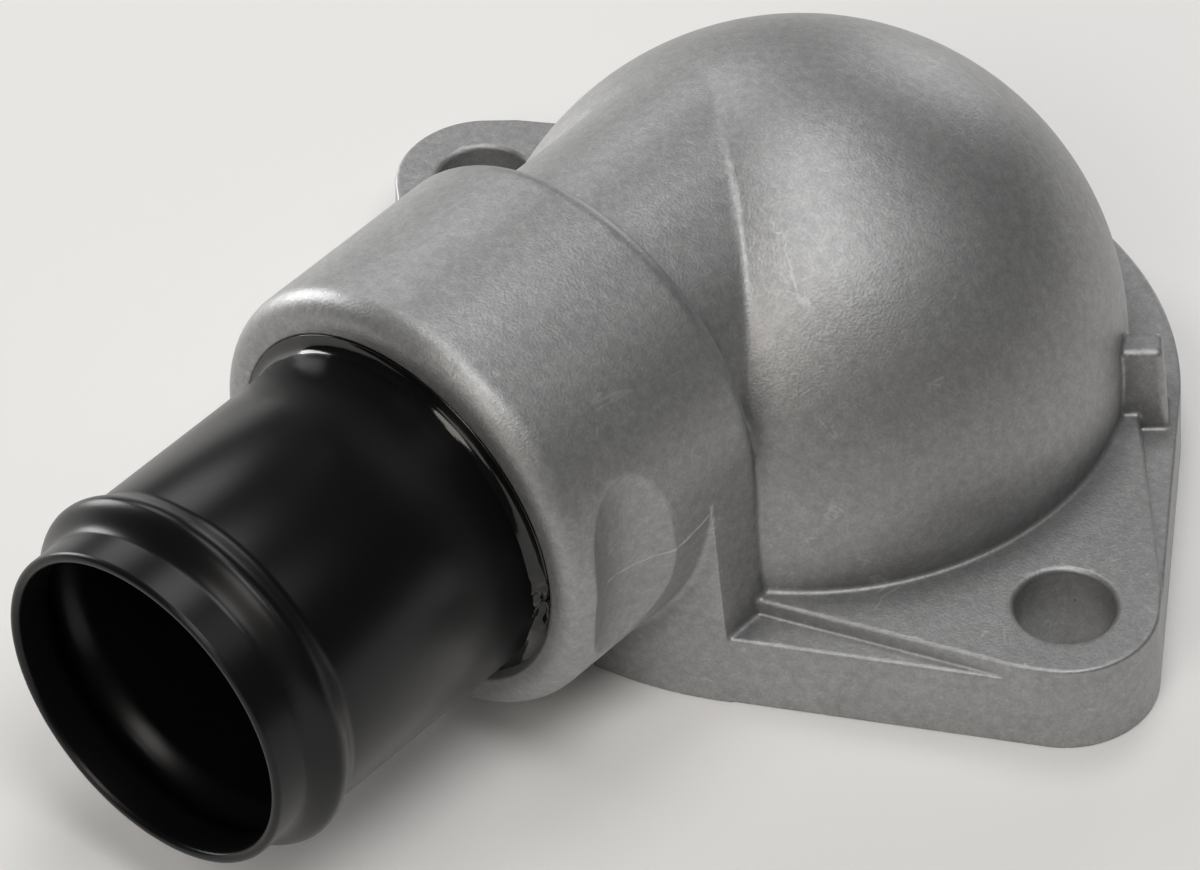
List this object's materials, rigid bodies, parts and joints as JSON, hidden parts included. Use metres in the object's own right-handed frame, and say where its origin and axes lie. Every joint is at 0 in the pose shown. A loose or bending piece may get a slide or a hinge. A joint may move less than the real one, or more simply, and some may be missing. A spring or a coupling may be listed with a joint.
{
  "type": "thermostat housing with hose neck",
  "caption": "Cast aluminium coolant outlet: a domed thermostat cover on an eared flange, with a side neck holding a beaded black hose tube.",
  "frame": {"origin": "on the flange's sealing face, under the middle of the part's footprint; the dome's axis stands at x 0.0006, y 0.0262", "axes": "+Z out of the engine along the dome's axis, -Y along the hose neck"},
  "size_m": [0.1094, 0.133, 0.0509],
  "materials": {
    "cast_aluminium": "as cast, fine blasted grain, matt to satin",
    "black_paint": "satin black paint",
    "black_sealant": "glossy cured sealant"
  },
  "bodies": {
    "root": {"cast_housing": "cast_aluminium", "hose_tube": "black_paint", "sealant_ring": "black_sealant"}
  },
  "joints": []
}
